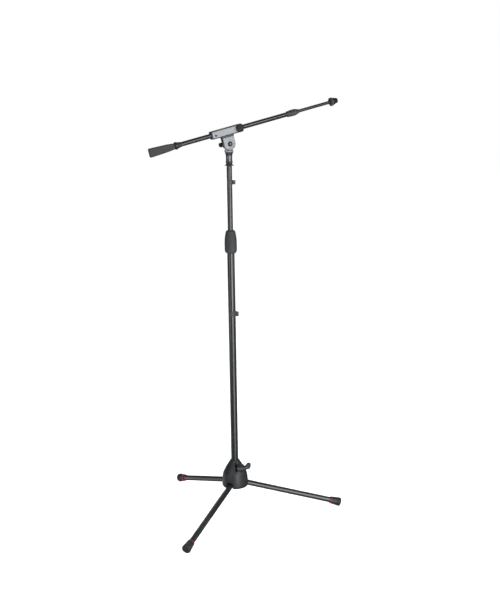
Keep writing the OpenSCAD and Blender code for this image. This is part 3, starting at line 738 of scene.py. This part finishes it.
# ---------------------------------------------------------------- swivel head

def make_cheek(node, w0, w1, saddle=False):
    """A rounded ear round the pivot from w0 to w1; one carries the saddle under the clamp."""
    r = 17.8 * MM
    top = OFFSET - CLAMP_H / 2
    shelf = top - 4.2 * MM
    outline = arc(0, 0, r, 180, 360, 48) + [(r, shelf), (-r, shelf)]
    plate = prism(node + ".plate", outline, w0, w1, 0.9 * MM)
    cut(plate, rod("hole", BOLT_R + 0.04 * MM, w0 - 2 * MM, w1 + 2 * MM, 48))
    if saddle:
        half = 19 * MM
        flat = [(-half, shelf, 1.2 * MM), (half, shelf, 1.2 * MM), (half, top, 0.4 * MM),
                (-half, top, 0.4 * MM)]
        wide = CLAMP_T / 2 - 0.2 * MM
        merged(plate, prism("saddle", fillet(flat, 3), -wide, wide, 0.6 * MM))
    finish_piece(turned(plate, FRONT_FROM_Z), node, TILT, 40)


def helix_rod(name, r, z0, z1, pitch, depth, segments=64):
    """A threaded rod with a true helical ridge that fades out at both ends."""
    samples, chamfer_len, chamfer_depth = 12, 1.2 * MM, 0.9 * MM
    n = int((z1 - z0) / pitch * samples)
    profile = [(z0, 0.0)] + [(z0 + (z1 - z0) * k / n, r) for k in range(n + 1)] + [(z1, 0.0)]

    def ridge(z, radius, angles):
        phase = (z / pitch - angles / TAU) % 1.0
        fall = np.clip(np.abs(phase - 0.5) * 2.6 - 0.25, 0, 1)
        run_in = min(1.0, (z - z0) / pitch, (z1 - z) / pitch)
        chamfer = max(0.0, 1 - (z1 - z) / chamfer_len) * chamfer_depth
        return radius - depth * fall * max(run_in, 0.35) - chamfer

    return lathe(name, profile, segments, ridge)


def across_tilt(node):
    """Where a node starts and ends across the head, from the rear to the front."""
    p = points_of(node, TILT)
    return -p[:, 1].max(), -p[:, 1].min()


def make_pivot_bolt():
    node = "pivot_bolt"
    back, front = across_tilt(node)
    bolt = helix_rod(node + ".thread", BOLT_R, back, front, 1.0 * MM, 0.45 * MM, 40)
    finish_piece(turned(bolt, FRONT_FROM_Z), node, TILT, 40)


def make_pivot_nut():
    """A domed hexagon on a round flange."""
    node = "pivot_nut"
    w0, w1 = across_tilt(node)
    flange_r, flange_top = 7.4 * MM, w0 + 0.9 * MM
    nut = lathe(node + ".hex", fillet([
        (w0, 0, 0), (w0, flange_r, 0.2 * MM), (flange_top, flange_r, 0.3 * MM),
        (flange_top, 0, 0)]), 64)
    body = prism("hex", hexagon(7 * MM), w0 + 0.5 * MM, w1)
    dome = lathe("dome", [(w0 - 1 * MM, 0.0), (w0 - 1 * MM, 8 * MM), (w1 - 1.0 * MM, 7.3 * MM),
                          (w1, 6.0 * MM), (w1, 0.0)], 64)
    combined(body, [dome], "INTERSECT")
    merged(nut, body)
    cut(nut, rod("hole", BOLT_R + 0.02 * MM, w0 - 2 * MM, w1 + 2 * MM, 40))
    finish_piece(turned(nut, FRONT_FROM_Z), node, TILT, 25, "plastic_black")


def make_tee_knob():
    node = "pivot_tee_knob"
    w0, w1 = across_tilt(node)
    half = np.abs(points_of(node, TILT)[:, 0]).max()
    knob = lathe("tee_knob", [(w0 + 6 * MM, 0.0), (w0 + 6 * MM, 6.5 * MM), (w1 - 4 * MM, 8 * MM),
                              (w1, 8 * MM), (w1, 0.0)], 64)
    tip, waist, bend = 7 * MM, 6 * MM, 5 * MM
    bar = fillet([(-half, -tip, bend), (-tip, -waist, bend), (tip, -waist, bend),
                  (half, -tip, bend), (half, tip, bend), (tip, waist, bend),
                  (-tip, waist, bend), (-half, tip, bend)], 5)
    merged(knob, prism("bar", bar, w0, w0 + 13 * MM, 2.2 * MM))
    moulded(knob, 0.5 * MM, 4)
    cut(knob, rod("hole", BOLT_R + 0.08 * MM, w0 + 2 * MM, w1 + 2 * MM, 40))
    finish_piece(turned(knob, FRONT_FROM_Z), node, TILT, 50)


# ---------------------------------------------------------------- clamp housing

def plate_outline(inset, corner):
    """A side plate's outline, drawn in from the housing's edge."""
    h = CLAMP_H / 2 - 2.4 * MM - inset
    a, b = FRAME_LO + 3 * MM + inset, FRAME_HI - 3 * MM - inset
    return fillet([(a, -h, corner), (b, -h, corner), (b, h, corner), (a, h, corner)], 6)


def make_clamp_frame():
    h, t, corner, past = CLAMP_H / 2, CLAMP_T / 2, 3.5 * MM, 2 * MM
    body = prism("clamp_frame.casting", fillet([
        (FRAME_LO, -h, corner), (FRAME_HI, -h, corner), (FRAME_HI, h, corner),
        (FRAME_LO, h, corner)], 6), -t, t, 0.8 * MM)
    for z0, z1 in ((t - PLATE_T, t + past), (-t - past, -t + PLATE_T)):
        cut(body, prism("recess", plate_outline(-0.05 * MM, 2.6 * MM), z0, z1))
    turned(body, FRONT_FROM_Z)
    for x0, x1, r in ((FRAME_LO - past, FRAME_HI + past, BOOM_R + 0.6 * MM),
                      (FRAME_LO - past, FRAME_LO + BUSH_LEN, BUSH_R),
                      (FRAME_HI - BUSH_LEN, FRAME_HI + past, BUSH_R)):
        cut(body, turned(rod("bore", r, x0, x1, 64), X_FROM_Z))
    cut(body, turned(rod("tap", KNOB_HOLE, 0, t + past, 40),
                     Matrix.Translation((KNOB_X, 0, KNOB_Z)) @ FRONT_FROM_Z))
    finish_piece(body, "clamp_frame", BOOM, 40)


def make_side_plate(node, side):
    """A plate with a dished screw hole; the front one, side 1, also has the knob's hole."""
    t = CLAMP_T / 2
    z0, z1 = sorted((side * (t - PLATE_T), side * (t + 0.25 * MM)))
    plate = prism(node + ".plate", plate_outline(0.15 * MM, 2.5 * MM), z0, z1, 0.35 * MM)
    dish = lathe("dish", [(0, 0.0), (0, 3.0 * MM), (t - 0.6 * MM, 3.0 * MM),
                          (t + 1 * MM, 4.0 * MM), (t + 1 * MM, 0.0)], 48)
    turned(dish, Matrix.Translation((PLATE_SCREW_X, PLATE_SCREW_Z, 0))
           @ Matrix.Rotation(0 if side > 0 else math.pi, 4, "X"))
    cut(plate, dish)
    if side > 0:
        cut(plate, turned(rod("hole", KNOB_HOLE, 0, t + 3 * MM, 40),
                          Matrix.Translation((KNOB_X, KNOB_Z, 0))))
    finish_piece(turned(plate, FRONT_FROM_Z), node, BOOM, 40)


def make_plate_screw(name, turn):
    """A button head with a hexagon socket, turn radians round from the front of the housing."""
    t, shank_r, head_r = CLAMP_T / 2, 1.2 * MM, 2.85 * MM
    screw = lathe(name, fillet([
        (t - 4 * MM, 0, 0), (t - 4 * MM, shank_r, 0), (t - 1.8 * MM, shank_r, 0),
        (t - 1.8 * MM, head_r, 0.2 * MM), (t - 0.35 * MM, head_r, 0.5 * MM),
        (t - 0.2 * MM, 0, 0)]), 48)
    cut(screw, prism("socket", hexagon(1.35 * MM), t - 1.4 * MM, t + 1 * MM))
    return turned(screw, Matrix.Translation((PLATE_SCREW_X, 0, PLATE_SCREW_Z))
                  @ Matrix.Rotation(turn, 4, "Z") @ FRONT_FROM_Z)


def make_plate_screws():
    pair = make_plate_screw("side_plate_screws.pair", 0)
    merged(pair, make_plate_screw("rear", math.pi))
    finish_piece(pair, "side_plate_screws", BOOM, 30)


def make_tube_bush(node, x0, x1):
    outline = ring_outline(x0, x1, BOOM_R + 0.1 * MM, BUSH_R - 0.05 * MM, 0.5 * MM)
    finish_piece(lathe_x(node + ".ring", outline, 72), node, BOOM)


def make_clamp_knob():
    node = "clamp_knob"
    place = BOOM @ Matrix.Translation((KNOB_X, 0, KNOB_Z)) @ FRONT_FROM_Z
    z0, z1, _, big = reach(node, place, 2)
    base, dish = CLAMP_T / 2 + 0.6 * MM, z1 - 1.1 * MM
    flutes, flute_depth, shank_r = 12, 1.1 * MM, 2.95 * MM

    def wave(z, r, angles):
        share = min(1.0, max(0.0, (r / big - 0.8) / 0.12))
        s = np.clip(np.cos(angles * flutes) * 1.5 - 0.5, 0, 1)
        return r - flute_depth * share * s

    outline = fillet([
        (z0, 0, 0), (z0, shank_r, 0.3 * MM), (base, shank_r, 0), (base, big - 2.4 * MM, 0.3 * MM),
        (base + 1.6 * MM, big - 0.2 * MM, 0.8 * MM), (z1 - 0.2 * MM, big - 0.2 * MM, 2.4 * MM),
        (z1, big - 4.2 * MM, 0.6 * MM), (z1 - 0.9 * MM, big - 5.0 * MM, 0.6 * MM),
        (dish, 0, 0)], 6)
    outline = [(z0, 0.0)] + dense(outline[1:-1], 1.2 * MM) + [(dish, 0.0)]
    finish_piece(lathe(node + ".fluted", outline, 240, wave), node, place, 40)


# ---------------------------------------------------------------- boom

def make_boom_tubes():
    for node in ("boom_outer_tube", "boom_inner_tube"):
        outline = tube_outline(node, BOOM, 0, 1.0 * MM)
        finish_piece(lathe_x(node + ".body", outline, 72), node, BOOM)


def make_weight_collar():
    node = "counterweight_collar"
    x0, x1, inner, big = reach(node, BOOM, 0)
    socket_r, socket_x = BOOM_R + 0.1 * MM, x1 - 12 * MM
    outline = fillet([
        (x0, inner, 0), (x0, 10.2 * MM, 0.8 * MM), (x0 + 0.8 * MM, big, 0.6 * MM),
        (x0 + 6.6 * MM, big, 0.8 * MM), (x0 + 7.6 * MM, 9 * MM, 0.6 * MM),
        (x1 - 0.8 * MM, 7.7 * MM, 0.6 * MM), (x1, 7.3 * MM, 0.4 * MM),
        (x1, socket_r, 0.3 * MM), (socket_x, socket_r, 0), (socket_x, inner, 0)])
    finish_piece(lathe_x(node + ".flanged", outline, 96), node, BOOM)


def make_weight():
    """A flat paddle swept as a boxy oval from its wide end to its narrow one."""
    node = "counterweight"
    p = points_of(node, BOOM)
    s0, s1 = p[:, 0].min(), p[:, 0].max()
    thick, wide = p[:, 1].max(), p[:, 2].max()
    stations, narrowed = (0, 0.35, 0.72, 0.88, 1), (0, 1.1 * MM, 2.5 * MM, 3.8 * MM, 5.3 * MM)
    rings, around, ease, boxy = 90, 96, 3.4 * MM, 0.3

    # A section is a circle whose sides are pushed out, squarer the smaller boxy is
    angles = np.arange(around) * TAU / around
    c, d = np.cos(angles), np.sin(angles)
    side, height = np.sign(c) * np.abs(c) ** boxy, np.sign(d) * np.abs(d) ** boxy
    verts, faces = [], []
    for k in range(rings + 1):
        # Rings crowd towards the two ends, where the edges are rounded over the length of ease
        t = 0.5 - 0.5 * math.cos(math.pi * k / rings)
        s = s0 + (s1 - s0) * t
        near = min(s - s0, s1 - s, ease) / ease
        pull = ease * (1 - math.sqrt(1 - (1 - near) ** 2))
        half_w = wide - float(np.interp(t, stations, narrowed)) - pull
        half_t = thick - 0.3 * MM * t - 0.5 * pull
        verts += [(s, y * half_t, z * half_w) for y, z in zip(side, height)]
    for k in range(rings):
        for m in range(around):
            n = (m + 1) % around
            faces.append((k * around + m, k * around + n, (k + 1) * around + n,
                          (k + 1) * around + m))
    faces += [tuple(range(around)), tuple(range(rings * around, (rings + 1) * around))]
    weight = solid(node + ".paddle", verts, faces)
    cut(weight, turned(rod("socket", 3.1 * MM, s1 - 16 * MM, s1 + 2 * MM, 40), X_FROM_Z))
    finish_piece(weight, node, BOOM, 40)


def make_end_bush():
    node = "boom_end_bush"
    x0, x1, _, big = reach(node, BOOM, 0)
    nut_x = reach("boom_clutch_nut", BOOM, 0)[0]
    thread_r, bore = 8.25 * MM, BOOM_R - 1 * MM
    outline = fillet([
        (x0, BOOM_R, 0), (x0, 8.3 * MM, 0.5 * MM), (x0 + 1 * MM, big, 0.5 * MM),
        (nut_x - 1.4 * MM, big, 0.5 * MM), (nut_x - 1.2 * MM, thread_r, 0),
        (x1, thread_r, 0.3 * MM), (x1, BOOM_R - 0.6 * MM, 0), (nut_x, bore, 0),
        (nut_x - 2 * MM, bore, 0), (nut_x - 2 * MM, BOOM_R, 0)])
    finish_piece(lathe_x(node + ".ferrule", outline, 80), node, BOOM)


def make_clutch_nut():
    """A fluted barrel that tapers down to the inner tube."""
    node = "boom_clutch_nut"
    x0, x1, _, big = reach(node, BOOM, 0)
    flutes, flute_depth, bore, clear = 10, 0.8 * MM, 8.35 * MM, INNER_R + 0.3 * MM

    def wave(x, r, angles):
        if r < 9.3 * MM:
            return np.full(len(angles), r)
        share = min(1.0, (x - x0 - 1.2 * MM) / (1.5 * MM), (x0 + 18.5 * MM - x) / (2 * MM))
        s = np.clip(np.cos(angles * flutes) * 1.6 - 0.6, 0, 1)
        return r - flute_depth * max(share, 0.0) * s

    outline = fillet([
        (x0, bore, 0.2 * MM), (x0, big, 0.8 * MM), (x0 + 16.5 * MM, big, 3 * MM),
        (x1, INNER_R + 0.9 * MM, 0.4 * MM), (x1, clear, 0), (x1 - 12 * MM, clear, 0),
        (x1 - 19 * MM, bore, 0)])
    nut = lathe_x(node + ".fluted", dense(outline, 1.0 * MM), 240, wave)
    finish_piece(nut, node, BOOM, 40)


def make_mic_stud():
    """A tang in the inner tube, a plain root under the lock ring, and the microphone thread."""
    node = "mic_thread_stud"
    x0, x1 = reach(node, BOOM, 0)[:2]
    shoulder = reach("boom_inner_tube", BOOM, 0)[1]
    ring_end = reach("mic_lock_ring", BOOM, 0)[1]
    pitch = 25.4 * MM / 27
    stud = helix_rod(node + ".thread", MIC_R, ring_end - 2 * MM, x1, pitch, 0.5 * MM, 96)
    merged(stud, rod("root", MIC_ROOT, shoulder, ring_end, 64))
    merged(stud, rod("tang", INNER_R - 1.02 * MM, x0, shoulder + 1 * MM, 48))
    cut(stud, rod("socket", 4 * MM, x1 - 12 * MM, x1 + 1 * MM, 48))
    finish_piece(turned(stud, X_FROM_Z), node, BOOM, 40)


def make_mic_ring():
    """A lobed flange and its round hub, two pieces of one node."""
    node = "mic_lock_ring"
    x0, x1, _, big = reach(node, BOOM, 0)
    lobes, gap_depth, hub = 8, 1.5 * MM, 10.3 * MM

    def wave(x, r, angles):
        share = min(1.0, max(0.0, (r - hub) / (1.8 * MM)))
        s = np.clip(np.cos(angles * lobes) * 1.25 - 0.25, 0, 1)
        return r - gap_depth * share * s

    bore, rim, face = MIC_ROOT + 0.1 * MM, big - 0.1 * MM, x0 + 7.6 * MM
    flange = dense(fillet([(x0, bore, 0.3 * MM), (x0, rim, 1.4 * MM), (face, rim, 1.4 * MM),
                           (face, bore, 0)], 6), 1.0 * MM)
    finish_piece(lathe_x(node + ".lobes", flange, 240, wave), node, BOOM, 40)
    back, mouth, clear = face - 0.3 * MM, x1 - 2.2 * MM, MIC_R + 0.02 * MM
    nose = fillet([(back, bore, 0), (back, hub, 0), (x1, hub, 0.9 * MM), (x1, clear, 0.3 * MM),
                   (mouth, clear, 0), (mouth, bore, 0)], 6)
    finish_piece(lathe_x(node + ".hub", nose, 96), node, BOOM, 40, "plastic_black")


make_bell()
make_wing_screw()
for leg in (1, 2, 3):
    make_leg_tube(leg)
    make_foot_ring(leg)
    make_foot(leg)
make_column_tubes()
make_boom_tubes()
make_clip("lower_cable_clip", LOWER_R)
make_clip("upper_cable_clip", UPPER_R)
make_clutch_grip()
make_lock_ring()
make_socket()
make_shoulder()
cheek_in, cheek_out = 4.5 * MM, CLAMP_T / 2
make_cheek("front_cheek", cheek_in, cheek_out)
make_cheek("rear_cheek", -cheek_out, -cheek_in, saddle=True)
make_pivot_bolt()
make_pivot_nut()
make_tee_knob()
make_clamp_frame()
make_side_plate("front_side_plate", 1)
make_side_plate("rear_side_plate", -1)
make_plate_screws()
make_tube_bush("tail_tube_bush", FRAME_LO, FRAME_LO + BUSH_LEN - 0.2 * MM)
make_tube_bush("nose_tube_bush", FRAME_HI - BUSH_LEN + 0.2 * MM, FRAME_HI)
make_clamp_knob()
make_weight_collar()
make_weight()
make_end_bush()
make_clutch_nut()
make_mic_stud()
make_mic_ring()


# ---------------------------------------------------------------- stage

def make_stage():
    """A white floor and surround for the camera; reflections see only a dim room and panels."""
    bpy.ops.mesh.primitive_plane_add(size=40)
    floor = bpy.context.object
    floor.name = "floor"
    mat, nodes, links, bsdf = new_material("pale_floor")
    plain = stretched(nodes, links, (1, 1, 1))
    tone = mixed(nodes, links, noise(nodes, links, plain, 2.0, 4.0), (0.86, 0.86, 0.86, 1),
                 (0.9, 0.9, 0.9, 1))
    links.new(tone, bsdf.inputs["Base Color"])
    bsdf.inputs["Roughness"].default_value = 0.8
    floor.data.materials.append(mat)
    floor.visible_glossy = False
    floor.visible_shadow = False

    world = bpy.data.worlds.new("studio")
    bpy.context.scene.world = world
    world.use_nodes = True
    nodes, links = world.node_tree.nodes, world.node_tree.links
    seen = nodes["Background"]
    seen.inputs["Color"].default_value = (1, 1, 1, 1)
    seen.inputs["Strength"].default_value = 1.0
    around = nodes.new("ShaderNodeBackground")
    around.inputs["Color"].default_value = (0.92, 0.96, 1.0, 1)
    around.inputs["Strength"].default_value = 0.1
    pick = nodes.new("ShaderNodeMixShader")
    path = nodes.new("ShaderNodeLightPath")
    links.new(path.outputs["Is Camera Ray"], pick.inputs["Fac"])
    links.new(around.outputs[0], pick.inputs[1])
    links.new(seen.outputs[0], pick.inputs[2])
    links.new(pick.outputs[0], nodes["World Output"].inputs["Surface"])

    data = bpy.data.lights.new("floor_light", "SUN")
    data.energy, data.use_shadow = 3.8, False
    sun = bpy.data.objects.new("floor_light", data)
    bpy.context.scene.collection.objects.link(sun)
    lit = bpy.data.collections.new("floor_only")
    lit.objects.link(floor)
    sun.light_linking.receiver_collection = lit


def softbox(name, azimuth, spread, low, high, radiance):
    """An upright panel 3 m from the column, azimuth degrees to the right of straight in front.

    It is spread degrees wide and stands between the heights low and high, in m."""
    distance = 3.0
    width = 2 * distance * math.tan(math.radians(spread / 2))
    data = bpy.data.lights.new(name, "AREA")
    data.shape, data.size, data.size_y = "RECTANGLE", width, high - low
    data.energy = math.pi * width * (high - low) * radiance
    light = bpy.data.objects.new(name, data)
    bpy.context.scene.collection.objects.link(light)
    turn = math.radians(azimuth)
    out = Vector((math.sin(turn), -math.cos(turn), 0))
    light.matrix_world = axes_matrix(out * distance + Vector((0, 0, (low + high) / 2)),
                                     UP.cross(out), UP, out)
    light.visible_camera = False


def make_camera():
    """The photo's viewpoint: 2.87 m in front, 1.2 m up, looking a little down."""
    pitch, yaw, roll = math.radians(10.57), math.radians(1.10), math.radians(-0.88)
    forward = Vector((math.sin(yaw) * math.cos(pitch), math.cos(yaw) * math.cos(pitch),
                      -math.sin(pitch)))
    right = Vector((math.cos(yaw), -math.sin(yaw), 0))
    up = right.cross(forward)
    x = math.cos(roll) * right + math.sin(roll) * up
    y = math.cos(roll) * up - math.sin(roll) * right
    data = bpy.data.cameras.new("camera")
    data.sensor_width = 36
    data.lens = 56.58
    camera = bpy.data.objects.new("camera", data)
    bpy.context.scene.collection.objects.link(camera)
    camera.matrix_world = axes_matrix(Vector((0, -2.870, 1.197)), x, y, -forward)
    bpy.context.scene.camera = camera


make_stage()
# Each panel's name, azimuth, spread, lowest and highest edge, and radiance
softbox("key", 24, 34, 0.05, 0.9, 6.6)
softbox("key_low", 24, 34, -1.2, 0.05, 3.4)
softbox("front_left", -34, 40, 0.9, 2.3, 2.2)
softbox("front_right", 16, 26, 0.9, 2.3, 2.8)
softbox("boom_streak", 46, 22, 1.2, 2.4, 7.0)
softbox("column_streak", -56, 14, -0.2, 0.85, 3.2)
softbox("side_right", 84, 36, 0.3, 2.1, 1.0)
softbox("left_leg", -122, 44, -1.9, 0.1, 0.9)
softbox("back", 180, 50, 1.4, 2.4, 0.4)
softbox("back_high", 195, 60, 2.4, 3.9, 1.4)
make_camera()
bpy.context.scene.view_settings.view_transform = "Standard"
